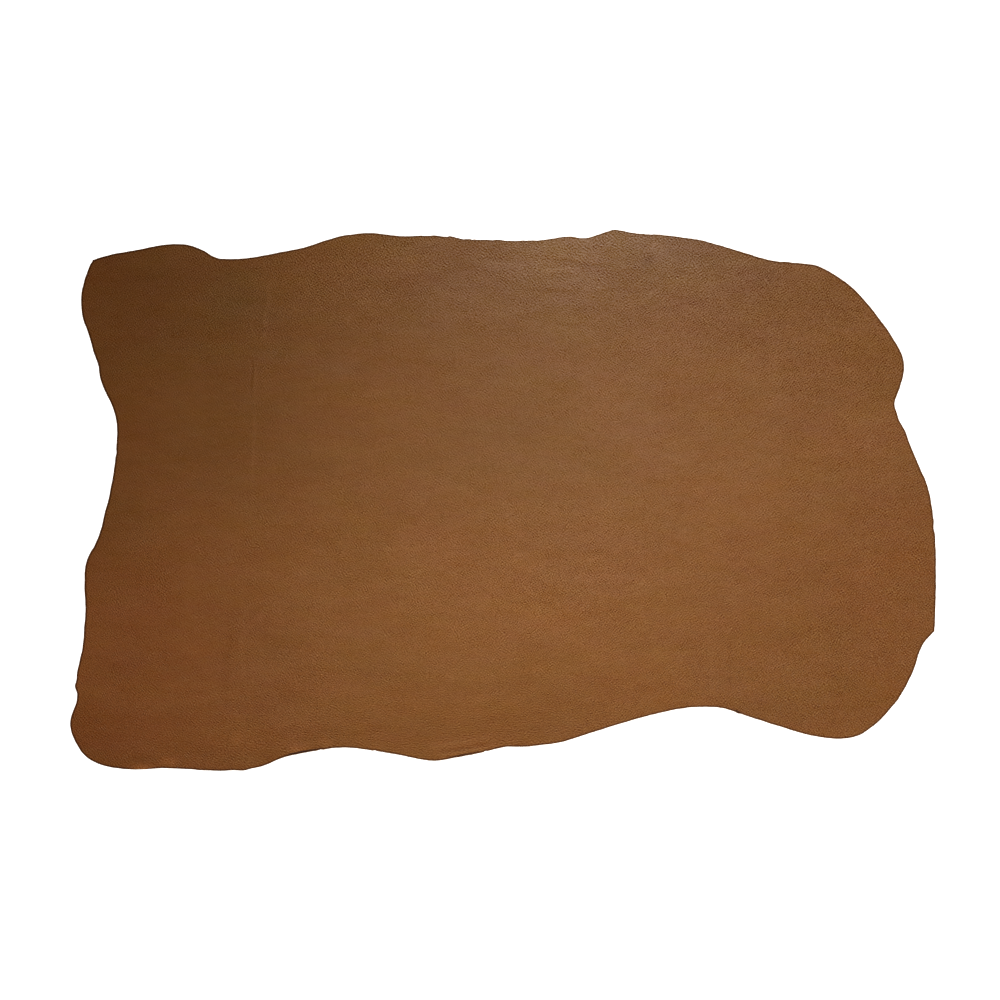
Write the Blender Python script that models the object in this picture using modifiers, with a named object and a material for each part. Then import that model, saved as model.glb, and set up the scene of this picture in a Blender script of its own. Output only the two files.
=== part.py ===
"""A leather hide: one tanned skin laid out flat, grain side up, with the uneven rim it was trimmed to.

Metres, +Z up. The origin is in the middle of the hide's box, on the surface that the hide lies on.
+X runs along the hide towards its broad end, and +Y runs across it.
"""

import math
from collections import namedtuple

import bmesh
import bpy

NAME = "hide"
LENGTH = 1.732
WIDTH = 1.082
THICKNESS = 0.0018

# The sheet is cut into cells of about this size, so that it can curl.
CELL = 0.030
# Straight steps in the rim from one knot to the next.
RIM_STEPS = 4
# Points nearer than this to a cut are taken to lie on it.
CUT_SNAP = 1e-6

COLOUR = (0.262, 0.106, 0.026, 1.0)
ROUGHNESS = 0.55
METALLIC = 0.0

# The rim passes smoothly through its knots, and turns sharply only where the skin was cut to a corner.
SMOOTH = "AUTO"
SHARP = "VECTOR"
Knot = namedtuple("Knot", "x y turn", defaults=[SMOOTH])

# The rim's knots, clockwise from the sharp corner at the narrow end.
UPPER_EDGE = (
    Knot(-0.820, 0.481, SHARP),
    Knot(-0.733, 0.501),
    Knot(-0.653, 0.513),
    Knot(-0.618, 0.508),
    Knot(-0.566, 0.485),
    Knot(-0.510, 0.485),
    Knot(-0.452, 0.495),
    Knot(-0.401, 0.505),
    Knot(-0.318, 0.528),
    Knot(-0.274, 0.535),
    Knot(-0.210, 0.529),
    Knot(-0.133, 0.529),
    Knot(-0.030, 0.521),
    Knot(0.080, 0.521),
    Knot(0.132, 0.528),
    Knot(0.164, 0.524),
    Knot(0.223, 0.541),
    Knot(0.264, 0.534),
    Knot(0.317, 0.531),
    Knot(0.405, 0.518),
    Knot(0.534, 0.480),
    Knot(0.622, 0.472),
)
BROAD_END = (
    Knot(0.686, 0.434),
    Knot(0.727, 0.396),
    Knot(0.786, 0.311),
    Knot(0.799, 0.272),
    Knot(0.793, 0.226),
    Knot(0.782, 0.196, SHARP),
    Knot(0.786, 0.172),
    Knot(0.804, 0.139),
    Knot(0.822, 0.086),
    Knot(0.846, 0.038),
    Knot(0.860, -0.031),
    Knot(0.866, -0.135),
    Knot(0.863, -0.262, SHARP),
    Knot(0.839, -0.288),
    Knot(0.821, -0.340),
    Knot(0.786, -0.402),
    Knot(0.727, -0.461),
)
LOWER_EDGE = (
    Knot(0.698, -0.474),
    Knot(0.628, -0.472),
    Knot(0.551, -0.451),
    Knot(0.474, -0.426),
    Knot(0.431, -0.412),
    Knot(0.393, -0.412),
    Knot(0.345, -0.418),
    Knot(0.262, -0.438),
    Knot(0.135, -0.476),
    Knot(0.053, -0.492),
    Knot(0.001, -0.493),
    Knot(-0.042, -0.504),
    Knot(-0.108, -0.515),
    Knot(-0.143, -0.518),
    Knot(-0.235, -0.504),
    Knot(-0.325, -0.494),
    Knot(-0.364, -0.499),
    Knot(-0.427, -0.510),
    Knot(-0.522, -0.538),
    Knot(-0.676, -0.535),
    Knot(-0.765, -0.536),
    Knot(-0.829, -0.516),
)
NARROW_END = (
    Knot(-0.852, -0.488),
    Knot(-0.866, -0.446),
    Knot(-0.851, -0.393),
    Knot(-0.854, -0.374),
    Knot(-0.835, -0.227),
    Knot(-0.837, -0.150),
    Knot(-0.832, -0.118),
    Knot(-0.813, -0.083),
    Knot(-0.782, 0.038),
    Knot(-0.773, 0.110),
    Knot(-0.774, 0.167),
    Knot(-0.806, 0.244),
    Knot(-0.809, 0.269),
    Knot(-0.823, 0.308),
    Knot(-0.844, 0.393),
    Knot(-0.833, 0.453),
)

# Where the rim has curled a little off the surface: the middle of the curl, how far it reaches along
# X and Y, and how high the underside stands there.
Curl = namedtuple("Curl", "x y reach_x reach_y height")
CURLS = (
    Curl(-0.740, -0.536, 0.110, 0.060, 0.0030),
    Curl(-0.430, -0.510, 0.065, 0.050, 0.0030),
    Curl(-0.125, -0.516, 0.130, 0.070, 0.0045),
    Curl(0.456, -0.418, 0.050, 0.045, 0.0025),
    Curl(-0.050, 0.521, 0.150, 0.050, 0.0020),
)


def clear_scene():
    for obj in list(bpy.data.objects):
        bpy.data.objects.remove(obj, do_unlink=True)


def new_collection(name):
    collection = bpy.data.collections.new(name)
    bpy.context.scene.collection.children.link(collection)
    return collection


def leather():
    material = bpy.data.materials.new("leather")
    material.use_nodes = True
    shader = material.node_tree.nodes["Principled BSDF"]
    shader.inputs["Base Color"].default_value = COLOUR
    shader.inputs["Roughness"].default_value = ROUGHNESS
    shader.inputs["Metallic"].default_value = METALLIC
    return material


def rim_loop(collection):
    """The rim as a mesh: one closed loop of edges, read from the curve through the knots."""
    curve = bpy.data.curves.new("rim", "CURVE")
    curve.dimensions = "2D"
    curve.fill_mode = "NONE"
    curve.resolution_u = RIM_STEPS
    knots = UPPER_EDGE + BROAD_END + LOWER_EDGE + NARROW_END
    spline = curve.splines.new("BEZIER")
    spline.bezier_points.add(len(knots) - 1)
    spline.use_cyclic_u = True
    for point, knot in zip(spline.bezier_points, knots):
        point.co = (knot.x, knot.y, 0.0)
        point.handle_left_type = knot.turn
        point.handle_right_type = knot.turn
    rim = bpy.data.objects.new("rim", curve)
    collection.objects.link(rim)
    graph = bpy.context.evaluated_depsgraph_get()
    loop = bpy.data.meshes.new_from_object(rim.evaluated_get(graph))
    bpy.data.objects.remove(rim)
    return loop


def cut_across(sheet, axis, size):
    """Cuts the sheet into strips of about one CELL, at right angles to the axis."""
    strips = math.ceil(size / CELL)
    normal = [0.0, 0.0, 0.0]
    normal[axis] = 1.0
    for strip in range(1, strips):
        place = [0.0, 0.0, 0.0]
        place[axis] = size * (strip / strips - 0.5)
        whole = sheet.verts[:] + sheet.edges[:] + sheet.faces[:]
        bmesh.ops.bisect_plane(sheet, geom=whole, dist=CUT_SNAP, plane_co=place, plane_no=normal)


def curl_at(x, y):
    """How high the underside stands off the surface here: each curl is a soft bump that ends flat."""
    heights = [0.0]
    for curl in CURLS:
        away = math.hypot((x - curl.x) / curl.reach_x, (y - curl.y) / curl.reach_y)
        if away < 1.0:
            heights.append(curl.height * (1.0 + math.cos(math.pi * away)) / 2.0)
    return max(heights)


def hide(collection):
    """The hide: an open sheet inside the rim, cut into cells, curled there, then thickened upwards."""
    mesh = rim_loop(collection)
    sheet = bmesh.new()
    sheet.from_mesh(mesh)
    bmesh.ops.contextual_create(sheet, geom=sheet.edges[:])
    cut_across(sheet, 0, LENGTH)
    cut_across(sheet, 1, WIDTH)
    for vert in sheet.verts:
        vert.co.z = curl_at(vert.co.x, vert.co.y)
    bmesh.ops.recalc_face_normals(sheet, faces=sheet.faces[:])
    if sheet.faces[0].normal.z < 0.0:
        bmesh.ops.reverse_faces(sheet, faces=sheet.faces[:])
    sheet.to_mesh(mesh)
    sheet.free()
    mesh.name = NAME
    mesh.materials.append(leather())
    obj = bpy.data.objects.new(NAME, mesh)
    collection.objects.link(obj)
    skin = obj.modifiers.new("thickness", "SOLIDIFY")
    skin.thickness = THICKNESS
    skin.offset = 1.0
    return obj


clear_scene()
hide(new_collection("leather_hide"))
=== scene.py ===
"""The looks of a tanned leather hide that lies flat, grain side up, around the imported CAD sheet.

The hide is one closed mesh. Its rim follows the CAD sheet's rim, with the small raggedness of a cut hide
added. Inside it are a fine grain side, a coarser flesh side, and between them a bevelled cut edge. The mesh
keeps notes at its points, such as how strong the grain is there, and the materials read them.
Lengths are in metres, and colours are linear.
"""

import math
from collections import namedtuple

import bmesh
import bpy
import numpy as np
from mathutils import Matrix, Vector, kdtree, noise
from mathutils.geometry import delaunay_2d_cdt


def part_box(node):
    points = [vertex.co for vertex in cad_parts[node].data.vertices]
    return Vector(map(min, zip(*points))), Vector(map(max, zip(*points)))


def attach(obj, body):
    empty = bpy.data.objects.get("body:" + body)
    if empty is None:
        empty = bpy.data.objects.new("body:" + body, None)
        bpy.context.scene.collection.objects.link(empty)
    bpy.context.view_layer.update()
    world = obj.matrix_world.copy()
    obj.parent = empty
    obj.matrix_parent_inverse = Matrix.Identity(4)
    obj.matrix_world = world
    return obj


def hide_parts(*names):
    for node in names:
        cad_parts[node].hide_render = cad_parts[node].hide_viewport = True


# The sheet, and how its CAD mesh is read. Points this near are one, and faces that turn down by this much
# are its underside
THICKNESS = 0.0018
WELD = 1e-5
FACING = 0.5

# The rim: spacing of its points, and how its CAD facets are rounded off between the corners that stay
# sharp. A turn and an outward direction are measured over this many points to each side
RIM_STEP = 0.0025
ROUNDING_PASSES = 12
CORNER_REACH = 3
OUTWARD_REACH = 2
SOFT_TURN = math.radians(22)
SHARP_TURN = math.radians(45)

# The triangles inside the rim: their size, the seed that shakes their points, by what share of that size,
# and how far they stay from the rim. Those of a crease go on this far beside it
GRAIN_STEP, GRAIN_SEED = 0.0058, 1
CREASE_STEP, CREASE_SEED = 0.0024, 2
FLESH_STEP, FLESH_SEED = 0.0130, 3
LATTICE_SHAKE = 0.04
RIM_MARGIN = 0.0035
CREASE_MARGIN = 0.004

# Filling a ring with triangles keeps what is inside it, and joins points this near
INSIDE_ONLY = 1
FILL_SNAP = 1e-7

# The cut edge, from the flesh side up to the grain side: how far each ring stands inside the rim, and how
# high. The step up to the last ring already belongs to the grain side
Ring = namedtuple("Ring", "inset height")
EDGE_RINGS = (
    Ring(0.00028, 0.00000),
    Ring(0.00006, 0.00035),
    Ring(0.00000, 0.00100),
    Ring(0.00003, 0.00155),
    Ring(0.00010, 0.00171),
    Ring(0.00024, 0.00177),
    Ring(0.00085, 0.00178),
    Ring(0.00170, THICKNESS),
)
GRAIN_SLOT, CUT_SLOT, FLESH_SLOT = range(3)

# How far the rim stands outside the CAD sheet's, and its raggedness as waves of the knife's line.
# Waves of one kind are read this far apart in their noise
RIM_PUSH = 0.0005
Wave = namedtuple("Wave", "length height")
RAGGED_WAVES = (Wave(0.060, 0.0004), Wave(0.016, 0.0005), Wave(0.006, 0.0003))
RAGGED_SEED = 3.0
WAVE_GAP = 10.0

# How unevenly the hide lies, over what height it leaves the floor softly, and how unevenly thick it is.
# The grain side's relief fades out this near the rim
LIE_WAVES = (Wave(0.190, 0.0011), Wave(0.075, 0.0004))
LIE_SEED = 40.0
LIE_ROUNDING = 0.0003
THICKNESS_WAVES = (Wave(0.045, 0.00012), Wave(0.020, 0.00005))
THICKNESS_SEED = 70.0
RELIEF_FADE = 0.004

# Places on the hide. A zone's weight is full in its middle and fades to nothing at its reach
Zone = namedtuple("Zone", "x y reach_x reach_y weight")

# Where the rim is more ragged, by this many times again
TORN_ZONES = (Zone(-0.070, 0.520, 0.220, 0.060, 3.2), Zone(0.320, 0.500, 0.200, 0.060, 1.6))

# Where the rim stands further out, or further in
BULGE_ZONES = (
    Zone(0.794, 0.277, 0.080, 0.070, 0.0032),
    Zone(-0.482, -0.525, 0.055, 0.040, 0.0034),
    Zone(-0.135, -0.520, 0.060, 0.040, 0.0026),
    Zone(0.118, -0.473, 0.060, 0.040, 0.0028),
    Zone(-0.782, 0.477, 0.060, 0.040, 0.0024),
    Zone(0.418, -0.423, 0.050, 0.040, 0.0024),
    Zone(-0.357, 0.527, 0.060, 0.040, 0.0022),
    Zone(0.480, 0.477, 0.060, 0.040, 0.0022),
    Zone(-0.832, -0.300, 0.040, 0.060, -0.0030),
    Zone(-0.832, 0.327, 0.040, 0.050, -0.0026),
    Zone(0.768, 0.377, 0.040, 0.040, -0.0020),
    Zone(-0.365, -0.500, 0.006, 0.020, -0.0012),
    Zone(-0.256, -0.502, 0.005, 0.020, -0.0014),
    Zone(-0.035, -0.503, 0.005, 0.020, -0.0014),
    Zone(-0.855, -0.372, 0.020, 0.014, 0.0026),
    Zone(0.822, 0.085, 0.030, 0.040, 0.0024),
    Zone(0.785, 0.173, 0.020, 0.020, 0.0020),
    Zone(-0.575, 0.485, 0.025, 0.025, -0.0022),
    Zone(-0.320, 0.530, 0.025, 0.025, 0.0015),
    Zone(0.222, 0.540, 0.014, 0.020, 0.0014),
    Zone(0.595, 0.475, 0.040, 0.040, -0.0025),
    Zone(-0.065, 0.520, 0.045, 0.040, -0.0025),
    Zone(0.690, 0.435, 0.045, 0.045, 0.0018),
    Zone(-0.520, -0.540, 0.020, 0.020, 0.0022),
    Zone(-0.800, -0.025, 0.030, 0.030, 0.0018),
    Zone(0.470, -0.423, 0.006, 0.012, 0.0014),
    Zone(-0.773, 0.095, 0.006, 0.010, -0.0010),
    Zone(0.862, -0.055, 0.008, 0.014, -0.0012),
    Zone(0.790, -0.400, 0.010, 0.012, 0.0012),
)

# Where the painted shade along the rim is wider and darker, or narrower: wider as painted shadow under the
# curled lips of the bottom rim and on the left, which faces away from the lamps, and narrower along the top
RIM_SHADE_ZONES = (
    Zone(-0.400, -0.505, 0.060, 0.030, 0.0020),
    Zone(-0.076, -0.507, 0.055, 0.030, 0.0012),
    Zone(0.470, -0.420, 0.008, 0.016, 0.0020),
    Zone(-0.722, -0.537, 0.036, 0.014, -0.0024),
    Zone(0.100, 0.520, 0.650, 0.100, -0.0010),
    Zone(-0.900, 0.000, 0.500, 0.900, 0.0006),
)

# Where the hide curls up off the floor
CURL_ZONES = (
    Zone(-0.740, -0.536, 0.110, 0.060, 0.0030),
    Zone(-0.430, -0.510, 0.065, 0.050, 0.0030),
    Zone(-0.125, -0.516, 0.130, 0.070, 0.0045),
    Zone(0.456, -0.418, 0.050, 0.045, 0.0025),
    Zone(-0.050, 0.521, 0.150, 0.050, 0.0020),
)

# How strong the grain is
GRAIN_BASE = 0.84
GRAIN_ZONES = (
    Zone(0.62, 0.34, 0.55, 0.30, 0.36),
    Zone(0.15, 0.52, 0.80, 0.26, 0.26),
    Zone(-0.28, 0.42, 0.20, 0.16, 0.16),
    Zone(0.75, -0.20, 0.45, 0.60, 0.18),
    Zone(0.65, -0.38, 0.32, 0.26, 0.08),
    Zone(-0.20, -0.46, 0.30, 0.14, -0.20),
    Zone(-0.65, 0.44, 0.30, 0.14, -0.16),
    Zone(-0.06, 0.46, 0.16, 0.12, -0.10),
    Zone(-0.66, -0.46, 0.22, 0.14, -0.10),
    Zone(-0.32, 0.00, 0.20, 0.16, 0.07),
    Zone(0.10, -0.16, 0.75, 0.22, 0.16),
    Zone(0.05, 0.12, 0.45, 0.18, -0.08),
    Zone(-0.55, 0.16, 0.50, 0.28, -0.32),
    Zone(-0.90, 0.00, 0.45, 0.90, -0.34),
    Zone(-0.62, 0.22, 0.14, 0.12, -0.14),
)

# Where the hide is smoother, and so a little glossier
POLISH_ZONES = (Zone(0.08, 0.50, 0.50, 0.28, 1.0),)

# The share of pale painted sheen in the leather's colour: a painted highlight, strongest along the top and
# weaker towards the bottom
PAINTED_SHEEN_BASE = 0.04
PAINTED_SHEEN_ZONES = (
    Zone(0.22, 0.56, 0.60, 0.22, 0.30),
    Zone(0.14, 0.50, 0.75, 0.45, 0.15),
    Zone(0.30, 0.16, 0.85, 0.45, 0.06),
    Zone(0.05, -0.12, 0.50, 0.26, 0.03),
    Zone(0.10, -0.50, 0.95, 0.22, -0.04),
    Zone(-0.10, 0.38, 0.32, 0.12, 0.05),
    Zone(0.18, 0.39, 0.16, 0.12, 0.05),
    Zone(0.06, 0.255, 0.14, 0.04, 0.05),
    Zone(-0.44, 0.292, 0.08, 0.03, 0.06),
    Zone(-0.35, 0.262, 0.08, 0.03, 0.06),
    Zone(-0.38, 0.340, 0.09, 0.03, -0.04),
    Zone(0.15, 0.40, 1.10, 0.75, 0.030),
    Zone(0.00, -0.60, 1.50, 0.50, -0.012),
    Zone(-0.85, -0.30, 0.35, 0.50, -0.010),
)

# Where the leather is lighter, or darker: partly its own uneven tone, and partly painted light and shade
# where the lamps light the hide unevenly
TONE_AND_LIGHT_ZONES = (
    Zone(-0.86, -0.32, 0.14, 0.22, 0.12),
    Zone(-0.58, 0.36, 0.34, 0.22, -0.06),
    Zone(-0.52, 0.12, 0.30, 0.20, -0.07),
    Zone(-0.18, -0.20, 0.50, 0.24, 0.05),
    Zone(0.05, 0.54, 0.35, 0.12, 0.08),
    Zone(0.52, 0.44, 0.30, 0.22, -0.06),
    Zone(0.52, 0.02, 0.30, 0.20, 0.04),
    Zone(-0.74, 0.40, 0.20, 0.16, -0.06),
    Zone(-0.30, 0.48, 0.26, 0.14, 0.09),
    Zone(0.14, 0.48, 0.12, 0.12, 0.05),
    Zone(0.53, 0.45, 0.05, 0.04, -0.07),
    Zone(0.74, 0.12, 0.16, 0.13, 0.08),
    Zone(0.04, 0.16, 0.10, 0.06, -0.05),
    Zone(-0.14, -0.10, 0.16, 0.07, 0.05),
    Zone(-0.50, -0.28, 0.14, 0.12, -0.04),
    Zone(0.10, -0.22, 0.45, 0.18, 0.04),
    Zone(-0.28, -0.42, 0.18, 0.12, 0.03),
    Zone(0.13, -0.45, 0.20, 0.08, -0.05),
    Zone(0.50, -0.43, 0.20, 0.07, -0.07),
    Zone(0.46, -0.40, 0.14, 0.10, -0.04),
    Zone(-0.78, -0.30, 0.30, 0.45, 0.03),
    Zone(-0.80, 0.47, 0.25, 0.15, -0.04),
    Zone(0.15, 0.50, 0.22, 0.14, 0.05),
)

# Where it is redder, or less red
RED_ZONES = (
    Zone(-0.90, -0.42, 0.70, 0.75, 0.22),
    Zone(-0.86, 0.42, 0.30, 0.25, 0.12),
    Zone(0.78, -0.12, 0.20, 0.25, 0.07),
    Zone(0.04, 0.10, 0.38, 0.18, -0.05),
    Zone(0.77, -0.35, 0.12, 0.14, 0.05),
    Zone(-0.74, 0.16, 0.12, 0.16, 0.04),
    Zone(-0.76, -0.04, 0.14, 0.10, -0.05),
    Zone(-0.81, -0.31, 0.10, 0.12, -0.05),
    Zone(-0.53, 0.40, 0.10, 0.09, -0.07),
    Zone(-0.436, -0.300, 0.07, 0.06, -0.04),
)

# Small lighter or darker patches, and the share of their tone that goes into the painted sheen. The light
# ones right at the bottom rim are painted highlights on its curled lips
HIGHLIGHT_AND_TONE_PATCH_ZONES = (
    Zone(-0.405, -0.498, 0.034, 0.010, 0.30),
    Zone(-0.355, -0.482, 0.022, 0.012, 0.22),
    Zone(-0.722, -0.535, 0.036, 0.012, 0.42),
    Zone(-0.667, -0.522, 0.028, 0.015, 0.32),
    Zone(-0.722, -0.515, 0.050, 0.010, -0.12),
    Zone(-0.532, -0.479, 0.020, 0.024, 0.16),
    Zone(-0.182, 0.481, 0.026, 0.018, 0.10),
    Zone(0.305, 0.510, 0.030, 0.014, 0.12),
    Zone(0.290, 0.478, 0.022, 0.024, -0.14),
)
PATCH_SHEEN_SHARE = 0.15

# Where the mottling is stronger
STREAK_ZONES = (Zone(0.10, 0.50, 0.70, 0.26, 0.6),)

# The grain's ripples cross: some fall to the right, and others rise. The share that rises is the base and
# what its zones add. In the level zones both turn towards level, and in the coarse ones fewer fit in a cell
FALLING_RUN = math.radians(-44)
RISING_RUN = math.radians(38)
RISING_BASE = 0.25
RISING_ZONES = (
    Zone(0.75, 0.15, 0.80, 0.75, 0.45),
    Zone(0.45, 0.36, 0.35, 0.30, 0.20),
    Zone(0.25, -0.32, 0.75, 0.42, 0.40),
    Zone(-0.15, -0.50, 0.35, 0.16, 0.30),
)
LEVEL_ZONES = (Zone(-0.15, -0.52, 0.85, 0.26, 0.60), Zone(0.12, 0.50, 0.45, 0.20, 0.25))
COARSE_ZONES = (
    Zone(0.05, 0.54, 1.00, 0.30, 0.28),
    Zone(0.80, -0.10, 0.45, 0.60, 0.14),
    Zone(0.00, -0.56, 1.30, 0.22, 0.24),
)

# Creases, as soft ridges, or troughs where the height is negative. They wander to the sides in waves, and
# the fine triangles go on this share of their length past their ends
CREASE_WAVES = 1.1
CREASE_PAST_END = 0.05
Crease = namedtuple("Crease", "x0 y0 x1 y1 width height wander")
CREASES = (
    Crease(-0.470, 0.436, -0.480, 0.310, 0.010, 0.0005, 0.003),
    Crease(-0.502, 0.288, -0.504, 0.205, 0.005, -0.0004, 0.001),
    Crease(-0.496, 0.288, -0.498, 0.196, 0.005, 0.0003, 0.001),
    Crease(-0.499, 0.200, -0.502, -0.010, 0.007, 0.0003, 0.002),
    Crease(-0.548, -0.200, -0.560, -0.450, 0.014, -0.0003, 0.004),
    Crease(-0.522, -0.190, -0.520, -0.370, 0.009, 0.0003, 0.003),
    Crease(0.416, -0.290, 0.424, -0.400, 0.012, 0.0003, 0.001),
    Crease(0.452, -0.260, 0.456, -0.385, 0.008, -0.0004, 0.001),
    Crease(-0.060, 0.486, 0.026, 0.484, 0.005, -0.0006, 0.002),
    Crease(-0.030, 0.477, 0.016, 0.474, 0.005, 0.0006, 0.001),
    Crease(-0.046, 0.462, -0.006, 0.460, 0.005, -0.0004, 0.001),
    Crease(0.078, 0.484, 0.226, 0.470, 0.006, -0.0009, 0.003),
    Crease(0.078, 0.465, 0.152, 0.463, 0.007, 0.0007, -0.002),
    Crease(0.040, 0.425, 0.152, 0.418, 0.005, -0.0008, 0.001),
    Crease(0.150, 0.419, 0.275, 0.424, 0.005, -0.0004, -0.003),
    Crease(0.082, 0.438, 0.154, 0.443, 0.009, 0.0005, 0.002),
    Crease(0.338, 0.466, 0.376, 0.454, 0.005, -0.0006, 0.001),
    Crease(0.070, 0.354, 0.190, 0.352, 0.006, -0.0004, 0.003),
    Crease(-0.055, -0.172, 0.000, -0.196, 0.005, -0.0006, 0.004),
    Crease(-0.005, -0.194, 0.062, -0.216, 0.005, -0.0007, -0.004),
    Crease(-0.140, -0.512, -0.014, -0.491, 0.005, 0.0012, 0.000),
    Crease(-0.124, -0.503, -0.026, -0.486, 0.006, -0.0011, 0.000),
    Crease(-0.150, -0.494, -0.050, -0.478, 0.008, 0.0006, 0.000),
)

# Noise from 0 to 1 mostly lies between these
NOISE_SPREAD = (0.3, 0.7)

# The grain: its ripples, pebbles and pores by size and by share of its height. Slow swirls bend it, and it
# is stronger and weaker in patches
RIPPLE = 0.0044
RIPPLES_PER_CELL = 2.0
RIPPLE_ORDER = 0.7
RIPPLE_SHARE = 2.0
PEBBLE = 0.0034
PEBBLE_SHAKE = 0.8
PEBBLE_REACH = 0.75
PEBBLE_SHARE = 0.45
PORE = 0.0022
PORE_SHARE = 0.8
GRAIN_DEPTH = 0.0008
GRAIN_PATCH = 0.070
GRAIN_PATCHES = (0.90, 1.10)
SWIRLS_PER_METRE = 22.0
SWIRL_REACH = 0.010

# How much painted shade and highlight the grain and the creases put into the colour: their hollows painted
# darker and their tops lighter.
# The lift makes light spots show as much as dark ones
GRAIN_SHADE = 1.08
CREASE_SHADE = 220.0
LIFT = 0.3

# The mottling: soft streaks along the hide that make the leather brighter, redder or bluer. A change in
# brightness moves the three colours by unlike shares, as a white highlight added or taken away would, so
# that the leather turns neither warmer nor cooler
MOTTLE = 0.060
MOTTLE_COARSENESS = 0.87
COMBING = 0.4
STREAKS = 0.48
REDDER = (0.33, 0.67)
BLUER = (0.0, 0.0, 0.9)
BRIGHTER = (0.68, 1.08, 2.10)
LEAST_CHANGE = (0.1, 0.1, 0.1)

# The leather's two tans, and the pale painted sheen over them
TAN_OLIVE = (0.2445, 0.0911, 0.0166, 1)
TAN_RED = (0.2555, 0.0866, 0.0172, 1)
PAINTED_SHEEN_COLOUR = (0.280, 0.178, 0.102, 1)

# The painted shade along the rim, a dark line where the rounded cut edge turns away from the light: its
# tint, where it ends, the noise patches that shift that, and how much of the tint's light is left where the
# line is wider by the full amount
RIM_SHADE_TINT = (0.46, 0.36, 0.22)
RIM_BAND = (0.0037, 0.0047)
RIM_NOISE = 0.006
RIM_NOISE_DEPTH = 0.0012
FULL_RIM_SPREAD = 0.0024
LEAST_RIM_LIGHT = 0.2
UNTINTED = (1, 1, 1, 1)

# The grain side's gloss, in patches
GLOSS_PATCH = 0.030
GRAIN_ROUGHNESS = (0.44, 0.54)
GRAIN_GLOSS = 0.15
POLISH = 0.10

# The cut edge: fibres squeezed into layers, and the pale bevel, which starts this far inside the rim
FIBRE = 0.0022
FIBRE_COARSENESS = 0.65
FIBRE_LAYERS = 6
FIBRE_DEPTH = 0.0004
CUT = (0.340, 0.190, 0.085, 1)
CUT_DARK = (0.260, 0.135, 0.055, 1)
CUT_ROUGHNESS = (0.62, 0.80)
CUT_GLOSS = 0.05
BEVEL = (0.680, 0.390, 0.130, 1)
BEVEL_FROM = (0.00030, 0.00045)

# The flesh side: its nap, the streaks it was brushed into and its clouds, by size and by share of its tone
# and of its height
NAP, NAP_TONE, NAP_HEIGHT = 0.0016, 0.30, 0.5
BRUSHED, BRUSHED_TONE, BRUSHED_HEIGHT = 0.018, 0.45, 0.8
CLOUD, CLOUD_TONE = 0.110, 0.35
BRUSHING = 0.35
NAP_COARSENESS = 0.6
NAP_DEPTH = 0.0008
FLESH_TONES = (0.38, 0.72)
FLESH = (0.330, 0.185, 0.090, 1)
FLESH_DARK = (0.230, 0.115, 0.050, 1)
FLESH_ROUGHNESS = (0.86, 0.96)
FLESH_GLOSS = 0.25
SHEEN = 0.35
SHEEN_ROUGHNESS = 0.5

# Camera. Its picture is this wide at the hide, and the picture's middle is this far from the hide's
PICTURE_WIDTH = 2.0
PICTURE_OFFSET = Vector((-0.006, 0.001, 0))
LENS = 100
SENSOR = 36
CLIP_END = 100

# Floor and backdrop, which both shine brighter than white. The floor gives back less than half of the
# lamps' light
FLOOR_SIZE = 90.0
FLOOR_GAP = 0.0003
FLOOR_GREY = (0.40, 0.40, 0.40, 1)
FLOOR_ROUGHNESS = 0.9
WHITE = (1, 1, 1, 1)
BACKGROUND = 1.5

# Lamps: where each hangs, the point of the floor that it faces, its size and its strength
Light = namedtuple("Light", "name x y z aim_x aim_y width depth watts")
LIGHTS = (
    Light("back", 0.55, 0.60, 1.60, 0.50, 0.45, 0.7, 0.4, 17.5),
    Light("middle", 0.00, -0.20, 0.70, 0.00, -0.20, 0.9, 0.5, 2.27),
    Light("front_left", -0.60, -0.50, 0.70, -0.40, -0.30, 0.8, 0.4, 1.01),
    Light("front_right", 0.90, -1.30, 1.00, 0.30, -0.10, 1.0, 0.8, 10.6),
)


# ---------------------------------------------------------------- noise and zones


def rough(points, waves, seed):
    """The waves' summed height at each point, from smooth noise."""
    total = np.zeros(len(points))
    for number, wave in enumerate(waves):
        depth = seed + WAVE_GAP * number
        total += wave.height * np.array(
            [noise.noise(Vector((x / wave.length, y / wave.length, depth))) for x, y in points]
        )
    return total


def bump(away):
    """1 where away is 0, down to 0 where it is 1 or more, with no kink."""
    return (1 + np.cos(np.pi * np.minimum(away, 1))) / 2


def in_zones(points, zones):
    """The summed weight of the zones at each point."""
    total = np.zeros(len(points))
    for zone in zones:
        away = np.hypot((points[:, 0] - zone.x) / zone.reach_x, (points[:, 1] - zone.y) / zone.reach_y)
        total += zone.weight * bump(away)
    return total


def from_crease(points, crease):
    """(share of the way along the crease, distance sideways from its wandering line) of each point."""
    start = np.array([crease.x0, crease.y0])
    run = np.array([crease.x1, crease.y1]) - start
    length = np.hypot(*run)
    along = (points - start) @ run / length**2
    aside = (points - start) @ np.array([-run[1], run[0]]) / length
    wave = np.sin(2 * np.pi * CREASE_WAVES * along)
    line = crease.wander * wave * np.sin(np.pi * np.clip(along, 0, 1))
    return along, aside - line


def creased(points):
    """The height that the creases add at each point."""
    total = np.zeros(len(points))
    for crease in CREASES:
        along, aside = from_crease(points, crease)
        ends = np.sqrt(np.sin(np.pi * np.clip(along, 0, 1)))
        total += crease.height * ends * bump(np.abs(aside) / crease.width)
    return total


def near_crease(points):
    """Which points lie in or beside a crease."""
    found = np.zeros(len(points), bool)
    for crease in CREASES:
        along, aside = from_crease(points, crease)
        beside = np.abs(aside) < crease.width + CREASE_MARGIN
        found |= beside & (along > -CREASE_PAST_END) & (along < 1 + CREASE_PAST_END)
    return found


# ---------------------------------------------------------------- the rim


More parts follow.
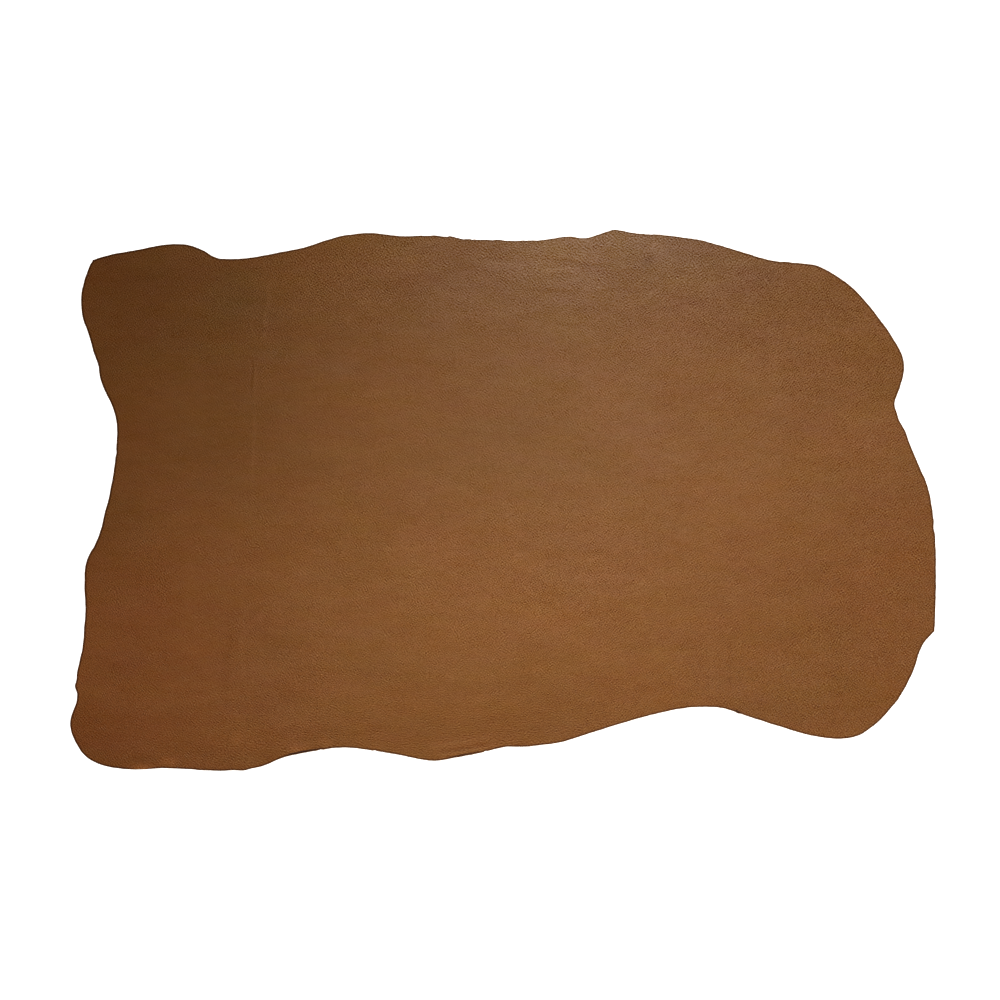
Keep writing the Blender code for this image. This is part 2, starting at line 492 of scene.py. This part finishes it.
def cad_rim(cad_node):
    """The CAD sheet's rim seen from above, as points that run anticlockwise round its flat underside."""
    mesh = bmesh.new()
    mesh.from_mesh(cad_node.data)
    bmesh.ops.remove_doubles(mesh, verts=mesh.verts, dist=WELD)
    mesh.normal_update()
    onward = {}
    for face in mesh.faces:
        if face.normal.z > -FACING:
            continue
        for loop in face.loops:
            beside = loop.link_loop_radial_next.face
            if beside.normal.z > -FACING:
                onward[loop.link_loop_next.vert] = loop.vert
    first = vert = min(onward, key=lambda v: (v.co.x, v.co.y))
    rim = []
    while not rim or vert is not first:
        rim.append(vert.co.xy)
        vert = onward[vert]
    rim = np.array(rim)
    mesh.free()
    return rim


def resampled(points, step):
    """Evenly spaced points on the closed line through the points."""
    closed = np.vstack([points, points[:1]])
    along = np.concatenate([[0], np.cumsum(np.hypot(*np.diff(closed, axis=0).T))])
    count = round(along[-1] / step)
    at = np.arange(count) * along[-1] / count
    return np.column_stack([np.interp(at, along, closed[:, axis]) for axis in (0, 1)])


def rounded(rim):
    """The rim with its facets smoothed out, and its sharp corners kept."""
    before = rim - np.roll(rim, CORNER_REACH, axis=0)
    after = np.roll(rim, -CORNER_REACH, axis=0) - rim
    cross = before[:, 0] * after[:, 1] - before[:, 1] * after[:, 0]
    turn = np.abs(np.arctan2(cross, (before * after).sum(1)))
    kept = np.clip((turn - SOFT_TURN) / (SHARP_TURN - SOFT_TURN), 0, 1)[:, None]
    smooth = rim
    for _ in range(ROUNDING_PASSES):
        smooth = (np.roll(smooth, 1, axis=0) + 2 * smooth + np.roll(smooth, -1, axis=0)) / 4
    return kept * rim + (1 - kept) * smooth


def outward(rim):
    """The direction away from the hide at each point of its rim."""
    run = np.roll(rim, -OUTWARD_REACH, axis=0) - np.roll(rim, OUTWARD_REACH, axis=0)
    return np.column_stack([run[:, 1], -run[:, 0]]) / np.hypot(*run.T)[:, None]


def ragged_rim(cad_node):
    """The hide's own rim: the CAD sheet's, rounded, pushed out a little and ragged as a knife leaves it."""
    rim = rounded(resampled(cad_rim(cad_node), RIM_STEP))
    tearing = 1 + in_zones(rim, TORN_ZONES)
    ragged = tearing * rough(rim, RAGGED_WAVES, RAGGED_SEED)
    push = RIM_PUSH + in_zones(rim, BULGE_ZONES) + ragged
    return rim + outward(rim) * push[:, None]


# ---------------------------------------------------------------- the sheet's surfaces


def lattice(rim, step, seed):
    """Points in a triangular pattern that cover the rim's box, each shaken a little."""
    low, high = rim.min(0), rim.max(0)
    rows = np.arange(low[1], high[1], step * math.sqrt(3) / 2)
    across = np.arange(low[0], high[0], step)
    x = across[None, :] + (np.arange(len(rows)) % 2)[:, None] * step / 2
    y = np.broadcast_to(rows[:, None], x.shape)
    points = np.column_stack([x.ravel(), y.ravel()])
    return points + np.random.default_rng(seed).uniform(-1, 1, points.shape) * step * LATTICE_SHAKE


def inside(points, rim):
    """Which points the rim encloses: a line that runs right from them crosses it an odd number of times."""
    odd = np.zeros(len(points), bool)
    for (x0, y0), (x1, y1) in zip(rim, np.roll(rim, -1, axis=0)):
        spans = np.flatnonzero((points[:, 1] < y0) != (points[:, 1] < y1))
        crossing = x0 + (points[spans, 1] - y0) * (x1 - x0) / (y1 - y0 or 1)
        odd[spans] ^= points[spans, 0] < crossing
    return odd


def distance_to(rim, points):
    """How far each point is from the rim."""
    tree = kdtree.KDTree(len(rim))
    for number, (x, y) in enumerate(rim):
        tree.insert((x, y, 0), number)
    tree.balance()
    return np.array([tree.find((x, y, 0))[2] for x, y in points])


def field(rim, step, seed):
    """The lattice's points that lie inside the rim and not too close to it."""
    points = lattice(rim, step, seed)
    points = points[inside(points, rim)]
    return points[distance_to(rim, points) > RIM_MARGIN]


def filled(ring, field_points, ring_start, field_start):
    """The triangles that fill the ring through the field's points. The starts are their first numbers."""
    together = [Vector(point) for point in np.vstack([ring, field_points])]
    result = delaunay_2d_cdt(together, [], [range(len(ring))], INSIDE_ONLY, FILL_SNAP)
    triangles, origins = result[2], result[3]
    numbers = [*range(ring_start, ring_start + len(ring))]
    numbers += range(field_start, field_start + len(field_points))
    return [[numbers[origins[corner][0]] for corner in triangle] for triangle in triangles]


def banded(count, rings):
    """The four-sided faces between each ring of that many points and the next one up."""
    faces = []
    for lower in range(0, count * (rings - 1), count):
        upper = lower + count
        for i in range(count):
            j = (i + 1) % count
            faces.append([lower + i, lower + j, upper + j, upper + i])
    return faces


def lift(points):
    """How far the hide's underside stands off the floor: its curled rim, and the way it lies."""
    lie = rough(points, LIE_WAVES, LIE_SEED)
    lie = (lie + np.hypot(lie, LIE_ROUNDING) - LIE_ROUNDING) / 2
    return in_zones(points, CURL_ZONES) + np.maximum(lie, 0)


def relief(points, from_rim):
    """The grain side's own height: uneven thickness and creases, which stop short of the cut edge."""
    uneven = rough(points, THICKNESS_WAVES, THICKNESS_SEED)
    return (uneven + creased(points)) * np.clip(from_rim / RELIEF_FADE, 0, 1)


def hide_mesh(cad_node):
    """The hide as one closed mesh, with its notes and with its three materials' slots on its faces."""
    rim = ragged_rim(cad_node)
    count = len(rim)
    away = outward(rim)
    rings = [rim - away * ring.inset for ring in EDGE_RINGS]
    coarse = field(rim, GRAIN_STEP, GRAIN_SEED)
    fine = field(rim, CREASE_STEP, CREASE_SEED)
    grain_field = np.vstack([coarse[~near_crease(coarse)], fine[near_crease(fine)]])
    flesh_field = field(rim, FLESH_STEP, FLESH_SEED)

    places = np.vstack([*rings, grain_field, flesh_field])
    from_rim = distance_to(rim, places)
    grain_start = count * len(rings)
    flesh_start = grain_start + len(grain_field)
    height = lift(places)
    height[:grain_start] += np.repeat([ring.height for ring in EDGE_RINGS], count)
    height[grain_start:flesh_start] += THICKNESS
    on_grain = slice(grain_start - count, flesh_start)
    height[on_grain] += relief(places[on_grain], from_rim[on_grain])

    grain = filled(rings[-1], grain_field, grain_start - count, grain_start)
    flesh = [triangle[::-1] for triangle in filled(rings[0], flesh_field, 0, flesh_start)]
    edge = banded(count, len(rings))
    mesh = bpy.data.meshes.new("hide_leather")
    mesh.from_pydata(np.column_stack([places, height]).tolist(), [], grain + edge + flesh)
    slots = [GRAIN_SLOT] * len(grain) + [CUT_SLOT] * (len(edge) - count)
    slots += [GRAIN_SLOT] * count + [FLESH_SLOT] * len(flesh)
    mesh.polygons.foreach_set("material_index", slots)
    mesh.shade_smooth()
    for name, values in notes_for(places, from_rim).items():
        attribute = mesh.attributes.new(name, "FLOAT", "POINT")
        attribute.data.foreach_set("value", values.astype(np.float32))
    mesh.validate()
    return mesh


def notes_for(places, from_rim):
    """The notes that the materials read at the mesh's points, by name."""
    rising = np.clip(RISING_BASE + in_zones(places, RISING_ZONES), 0, 1)
    # Lighter or darker patches. The light ones at the bottom rim are painted highlights on its curled lips
    patches = in_zones(places, HIGHLIGHT_AND_TONE_PATCH_ZONES)
    return {
        "from_rim": from_rim,
        "grain": GRAIN_BASE + in_zones(places, GRAIN_ZONES),
        "rising": np.sqrt(rising),
        "falling": np.sqrt(1 - rising),
        "level": np.clip(in_zones(places, LEVEL_ZONES), 0, 1),
        "fineness": RIPPLES_PER_CELL - in_zones(places, COARSE_ZONES),
        # crease height, which the colour also reads for painted shade and highlights
        "crease": creased(places),
        "polish": in_zones(places, POLISH_ZONES),
        # painted sheen: a pale painted highlight, strongest along the top
        "painted_sheen": PAINTED_SHEEN_BASE + in_zones(places, PAINTED_SHEEN_ZONES) + PATCH_SHEEN_SHARE * patches,
        # tone: lighter and darker zones, partly painted light and shade, with the patches' painted
        # highlights
        "tone": 1 + in_zones(places, TONE_AND_LIGHT_ZONES) + patches,
        "red": in_zones(places, RED_ZONES),
        "streaks": STREAKS * (1 + in_zones(places, STREAK_ZONES)),
        # how much wider and darker the painted shade along the rim is
        "rim_shade_spread": in_zones(places, RIM_SHADE_ZONES),
    }


# ---------------------------------------------------------------- materials


def node(tree, kind, sockets=None, **settings):
    """Adds a node. A socket given as another node's output is linked, and one given as a value is set."""
    made = tree.nodes.new("ShaderNode" + kind)
    for name, value in settings.items():
        setattr(made, name, value)
    for name, value in (sockets or {}).items():
        if isinstance(value, bpy.types.NodeSocket):
            tree.links.new(value, made.inputs[name])
        else:
            made.inputs[name].default_value = value
    return made


def maths(tree, operation, *values):
    """A number worked out from one to three others."""
    return node(tree, "Math", dict(enumerate(values)), operation=operation).outputs[0]


def combined(tree, operation, first, second):
    """Two vectors or colours added, subtracted, multiplied or compared, part by part."""
    return node(tree, "VectorMath", {0: first, 1: second}, operation=operation).outputs[0]


def scaled(tree, vector, factor):
    """A vector or colour times a number."""
    return node(tree, "VectorMath", {0: vector, "Scale": factor}, operation="SCALE").outputs[0]


def stretched(tree, place, *scales):
    """The place, scaled along each of the three axes."""
    return node(tree, "Mapping", {"Vector": place, "Scale": scales}).outputs[0]


def mixed(tree, share, first, second):
    """A colour between two, by the share of the second."""
    sockets = {"Factor": share, "A": first, "B": second}
    return node(tree, "Mix", sockets, data_type="RGBA").outputs["Result"]


def ranged(tree, value, low, high, to_low=0.0, to_high=1.0):
    """The value's way from low to high, held at the ends, as a number from to_low to to_high."""
    sockets = {"Value": value, "From Min": low, "From Max": high, "To Min": to_low, "To Max": to_high}
    return node(tree, "MapRange", sockets).outputs["Result"]


def noted(tree, name):
    """The note of that name."""
    return node(tree, "Attribute", attribute_name=name).outputs["Fac"]


def noisy(tree, place, size, detail=2.0, coarseness=0.5):
    """Smooth noise from 0 to 1 whose blotches are about that size."""
    sockets = {"Vector": place, "Scale": 1 / size, "Detail": detail, "Roughness": coarseness}
    return node(tree, "TexNoise", sockets).outputs["Fac"]


def bumped(tree, depth, height):
    """The way the surface faces once it is raised by the height times the depth."""
    return node(tree, "Bump", {"Distance": depth, "Height": height}).outputs[0]


def new_material(name):
    """An empty material with its shader: (material, tree, shader)."""
    material = bpy.data.materials.new(name)
    material.use_nodes = True
    tree = material.node_tree
    tree.nodes.clear()
    shader = node(tree, "BsdfPrincipled")
    output = node(tree, "OutputMaterial")
    tree.links.new(shader.outputs[0], output.inputs["Surface"])
    return material, tree, shader


def rippled(tree, place, run):
    """Ripples, about 0 to 1 in height, whose crests follow the run, or turn level where the hide's do."""
    across = maths(tree, "MULTIPLY_ADD", noted(tree, "level"), -run, run + math.pi / 2)
    sockets = {"Vector": place, "Scale": 1 / (RIPPLE * RIPPLES_PER_CELL), "Orientation": across}
    sockets |= {"Frequency": noted(tree, "fineness"), "Anisotropy": RIPPLE_ORDER}
    return node(tree, "TexGabor", sockets, gabor_type="2D").outputs["Value"]


def pebbles(tree, place):
    """The grain's height: pebbles and fine pores from 0 up, and about them the ripples that cross."""
    sockets = {"Vector": place, "Scale": 1 / PEBBLE, "Randomness": PEBBLE_SHAKE}
    cells = node(tree, "TexVoronoi", sockets, feature="F1", voronoi_dimensions="2D")
    domes = ranged(tree, cells.outputs["Distance"], 0.0, PEBBLE_REACH, 1.0, 0.0)
    height = maths(tree, "MULTIPLY", domes, PEBBLE_SHARE)
    height = maths(tree, "MULTIPLY_ADD", noisy(tree, place, PORE, detail=0.0), PORE_SHARE, height)
    for name, run in (("falling", FALLING_RUN), ("rising", RISING_RUN)):
        ripples = maths(tree, "MULTIPLY_ADD", rippled(tree, place, run), RIPPLE_SHARE, -RIPPLE_SHARE / 2)
        height = maths(tree, "MULTIPLY_ADD", ripples, noted(tree, name), height)
    return height


def grain_height(tree, place):
    """The grain's height about its middle, as strong as the grain is there."""
    sockets = {"Vector": place, "Scale": SWIRLS_PER_METRE, "Detail": 1.0}
    swirl = node(tree, "TexNoise", sockets).outputs["Color"]
    swirl = scaled(tree, combined(tree, "SUBTRACT", swirl, (0.5, 0.5, 0.5)), SWIRL_REACH)
    height = pebbles(tree, combined(tree, "ADD", place, swirl))
    patches = ranged(tree, noisy(tree, place, GRAIN_PATCH), *NOISE_SPREAD, *GRAIN_PATCHES)
    strength = maths(tree, "MULTIPLY", noted(tree, "grain"), patches)
    middle = (PEBBLE_SHARE + PORE_SHARE) / 2
    return maths(tree, "MULTIPLY", maths(tree, "SUBTRACT", height, middle), strength)


def tan_colour(tree, place, grain):
    """The grain side's colour: mottled tan with its painted sheen, and painted shade and highlights from
    the grain and the creases.
    """
    combed = stretched(tree, place, COMBING, 1, 1)
    sockets = {"Vector": combed, "Scale": 1 / MOTTLE, "Detail": 3.0, "Roughness": MOTTLE_COARSENESS}
    mottle = node(tree, "TexNoise", sockets).outputs["Color"]
    brighter, redder, bluer = node(tree, "SeparateColor", {"Color": mottle}).outputs
    colour = mixed(tree, ranged(tree, redder, *REDDER), TAN_OLIVE, TAN_RED)
    # Mixes in the pale painted sheen, a painted highlight over the tan
    colour = mixed(tree, noted(tree, "painted_sheen"), colour, PAINTED_SHEEN_COLOUR)

    # How much lighter or darker the colour is painted: the mottling's streaks, and painted shade in the
    # hollows of the grain and creases with painted highlights on their tops
    light = maths(tree, "MULTIPLY", maths(tree, "SUBTRACT", brighter, 0.5), noted(tree, "streaks"))
    light = maths(tree, "MULTIPLY_ADD", grain, GRAIN_SHADE, light)
    light = maths(tree, "MULTIPLY_ADD", noted(tree, "crease"), CREASE_SHADE, light)
    light = maths(tree, "MULTIPLY_ADD", maths(tree, "MULTIPLY", light, LIFT), light, light)
    bluer = scaled(tree, BLUER, maths(tree, "SUBTRACT", bluer, 0.5))
    change = combined(tree, "ADD", scaled(tree, BRIGHTER, light), bluer)
    change = combined(tree, "ADD", change, (1, 1, 1))
    change = combined(tree, "ADD", change, node(tree, "CombineXYZ", {"X": noted(tree, "red")}).outputs[0])
    change = combined(tree, "MAXIMUM", change, LEAST_CHANGE)
    return combined(tree, "MULTIPLY", colour, change)


def painted_rim_shade(tree, place):
    """What the painted shade along the rim leaves of the colour. A wider line of it is a darker one."""
    band_depth = maths(tree, "MULTIPLY_ADD", noisy(tree, place, RIM_NOISE), RIM_NOISE_DEPTH, noted(tree, "from_rim"))
    band_depth = maths(tree, "SUBTRACT", band_depth, noted(tree, "rim_shade_spread"))
    left = ranged(tree, noted(tree, "rim_shade_spread"), 0.0, FULL_RIM_SPREAD, 1.0, LEAST_RIM_LIGHT)
    return mixed(tree, ranged(tree, band_depth, *RIM_BAND), scaled(tree, RIM_SHADE_TINT, left), UNTINTED)


def grain_leather():
    """The grain side: pebbled grain that changes over the hide, mottled tan with painted sheen, and painted
    shade along the rim.
    """
    material, tree, shader = new_material("grain_leather")
    place = node(tree, "TexCoord").outputs["Object"]
    grain = grain_height(tree, place)
    # The tan, darkened along the rim by painted shade
    colour = combined(tree, "MULTIPLY", tan_colour(tree, place, grain), painted_rim_shade(tree, place))
    roughness = ranged(tree, noisy(tree, place, GLOSS_PATCH, detail=3.0), *NOISE_SPREAD, *GRAIN_ROUGHNESS)
    roughness = maths(tree, "MULTIPLY_ADD", noted(tree, "polish"), -POLISH, roughness)
    # The tone scales the colour: partly the leather's own tone, partly painted light and shade
    tree.links.new(scaled(tree, colour, noted(tree, "tone")), shader.inputs["Base Color"])
    tree.links.new(roughness, shader.inputs["Roughness"])
    tree.links.new(bumped(tree, GRAIN_DEPTH, grain), shader.inputs["Normal"])
    shader.inputs["Specular IOR Level"].default_value = GRAIN_GLOSS
    return material


def cut_leather():
    """The cut edge: raw fibre in thin layers, and the pale bevel that the knife left above them."""
    material, tree, shader = new_material("cut_leather")
    place = node(tree, "TexCoord").outputs["Object"]
    layers = stretched(tree, place, 1, 1, FIBRE_LAYERS)
    fibres = noisy(tree, layers, FIBRE, detail=3.0, coarseness=FIBRE_COARSENESS)
    colour = mixed(tree, ranged(tree, fibres, *NOISE_SPREAD), CUT_DARK, CUT)
    colour = mixed(tree, ranged(tree, noted(tree, "from_rim"), *BEVEL_FROM), colour, BEVEL)
    tree.links.new(colour, shader.inputs["Base Color"])
    tree.links.new(ranged(tree, fibres, *NOISE_SPREAD, *CUT_ROUGHNESS), shader.inputs["Roughness"])
    tree.links.new(bumped(tree, FIBRE_DEPTH, fibres), shader.inputs["Normal"])
    shader.inputs["Specular IOR Level"].default_value = CUT_GLOSS
    return material


def flesh_leather():
    """The flesh side: pale suede nap with long brushed streaks."""
    material, tree, shader = new_material("flesh_leather")
    place = node(tree, "TexCoord").outputs["Object"]
    brushed = stretched(tree, place, BRUSHING, 1, 1)
    nap = noisy(tree, place, NAP, detail=3.0, coarseness=NAP_COARSENESS)
    streaks = noisy(tree, brushed, BRUSHED, detail=4.0, coarseness=NAP_COARSENESS)
    clouds = noisy(tree, place, CLOUD, detail=3.0)
    tone = maths(tree, "MULTIPLY_ADD", clouds, CLOUD_TONE, maths(tree, "MULTIPLY", streaks, BRUSHED_TONE))
    tone = maths(tree, "MULTIPLY_ADD", nap, NAP_TONE, tone)
    height = maths(tree, "MULTIPLY_ADD", nap, NAP_HEIGHT, maths(tree, "MULTIPLY", streaks, BRUSHED_HEIGHT))
    colour = mixed(tree, ranged(tree, tone, *FLESH_TONES), FLESH_DARK, FLESH)
    tree.links.new(colour, shader.inputs["Base Color"])
    tree.links.new(ranged(tree, streaks, *NOISE_SPREAD, *FLESH_ROUGHNESS), shader.inputs["Roughness"])
    tree.links.new(bumped(tree, NAP_DEPTH, height), shader.inputs["Normal"])
    shader.inputs["Sheen Weight"].default_value = SHEEN
    shader.inputs["Sheen Roughness"].default_value = SHEEN_ROUGHNESS
    shader.inputs["Specular IOR Level"].default_value = FLESH_GLOSS
    return material


def floor_paint():
    """A plain floor that shines, so that it stays white where the light is weakest."""
    material, _, shader = new_material("floor_paint")
    shader.inputs["Base Color"].default_value = FLOOR_GREY
    shader.inputs["Roughness"].default_value = FLOOR_ROUGHNESS
    shader.inputs["Specular IOR Level"].default_value = 0.0
    shader.inputs["Emission Color"].default_value = WHITE
    shader.inputs["Emission Strength"].default_value = BACKGROUND
    return material


# ---------------------------------------------------------------- the scene


def build_hide(cad_node):
    """The hide, in place of the CAD sheet."""
    hide = bpy.data.objects.new("leather_hide", hide_mesh(cad_node))
    bpy.context.scene.collection.objects.link(hide)
    for material in (grain_leather(), cut_leather(), flesh_leather()):
        hide.data.materials.append(material)
    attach(hide, "root")
    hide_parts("hide")
    return hide


def build_floor(low):
    """A floor just under the hide, wide enough to fill a low view."""
    bpy.ops.mesh.primitive_plane_add(size=FLOOR_SIZE, location=(0, 0, low.z - FLOOR_GAP))
    floor = bpy.context.object
    floor.name = "floor"
    floor.data.materials.append(floor_paint())


def build_camera(low, high):
    """A camera straight above the hide."""
    camera = bpy.data.objects.new("camera", bpy.data.cameras.new("camera"))
    bpy.context.scene.collection.objects.link(camera)
    camera.data.lens = LENS
    camera.data.sensor_width = SENSOR
    camera.data.clip_end = CLIP_END
    middle = (low + high) / 2 + PICTURE_OFFSET
    camera.location = (middle.x, middle.y, low.z + THICKNESS + PICTURE_WIDTH * LENS / SENSOR)
    bpy.context.scene.camera = camera


def build_lights():
    """Soft lamps over the hide, which the camera doesn't see."""
    for light in LIGHTS:
        lamp = bpy.data.lights.new(light.name, "AREA")
        lamp.shape = "RECTANGLE"
        lamp.size = light.width
        lamp.size_y = light.depth
        lamp.energy = light.watts
        held = bpy.data.objects.new(light.name, lamp)
        held.location = (light.x, light.y, light.z)
        aim = Vector((light.aim_x, light.aim_y, 0)) - held.location
        held.rotation_euler = aim.to_track_quat("-Z", "Y").to_euler()
        held.visible_camera = False
        bpy.context.scene.collection.objects.link(held)


def build_world():
    """A white backdrop that the camera sees and that lights nothing."""
    world = bpy.data.worlds.new("studio")
    bpy.context.scene.world = world
    world.use_nodes = True
    tree = world.node_tree
    tree.nodes.clear()
    seen = node(tree, "LightPath").outputs["Is Camera Ray"]
    strength = maths(tree, "MULTIPLY", seen, BACKGROUND)
    background = node(tree, "Background", {"Color": WHITE, "Strength": strength})
    output = node(tree, "OutputWorld")
    tree.links.new(background.outputs[0], output.inputs["Surface"])


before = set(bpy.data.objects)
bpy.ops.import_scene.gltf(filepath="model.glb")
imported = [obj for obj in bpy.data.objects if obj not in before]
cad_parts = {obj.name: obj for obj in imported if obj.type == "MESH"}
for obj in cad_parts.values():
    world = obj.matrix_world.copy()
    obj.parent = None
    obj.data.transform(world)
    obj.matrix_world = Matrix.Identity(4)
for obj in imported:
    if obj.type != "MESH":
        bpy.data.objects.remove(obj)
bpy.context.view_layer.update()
low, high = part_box("hide")
build_camera(low, high)
build_floor(low)
build_world()
build_lights()
bpy.context.scene.view_settings.view_transform = "Standard"
hide = build_hide(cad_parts["hide"])
